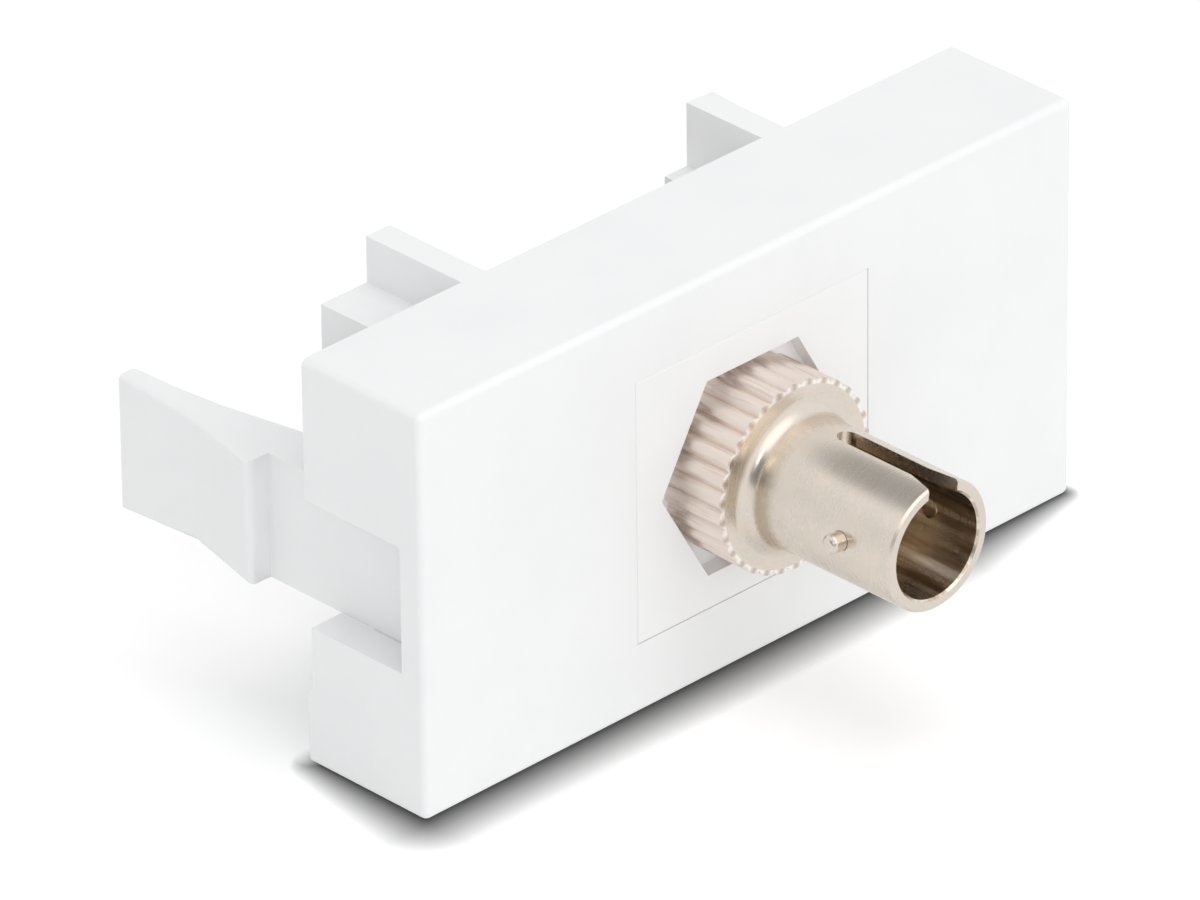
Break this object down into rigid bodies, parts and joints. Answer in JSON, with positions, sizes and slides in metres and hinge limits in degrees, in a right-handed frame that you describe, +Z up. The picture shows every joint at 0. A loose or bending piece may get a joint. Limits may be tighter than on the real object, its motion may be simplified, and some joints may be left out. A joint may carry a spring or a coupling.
{
  "type": "st fibre adapter",
  "caption": "Snap-in white half module with a keystone-size insert that holds a nickel-plated bayonet fibre adapter with a knurled flange and slotted barrels.",
  "frame": {"origin": "where the adapter's axis meets the plane of the front face", "axes": "+X along the long side, to the right seen from the front; +Y back into the wall; +Z up; the adapter's front barrel points to -Y"},
  "size_m": [0.045, 0.0358, 0.0226],
  "materials": {
    "white_plastic": "satin moulding",
    "insert_plastic": "satin moulding",
    "nickel": "turned and nickel-plated",
    "steel": "zinc-plated",
    "ceramic": "polished ceramic"
  },
  "bodies": {
    "root": {"cover_plate": "white_plastic", "keystone_insert": "insert_plastic", "front_body": "nickel", "bayonet_pin_front_left": "nickel", "bayonet_pin_front_right": "nickel", "rear_body": "nickel", "bayonet_pin_rear_left": "nickel", "bayonet_pin_rear_right": "nickel", "sleeve_holder_front": "nickel", "sleeve_holder_rear": "nickel", "alignment_sleeve": "ceramic", "lock_washer": "steel", "panel_nut": "nickel"}
  },
  "joints": []
}
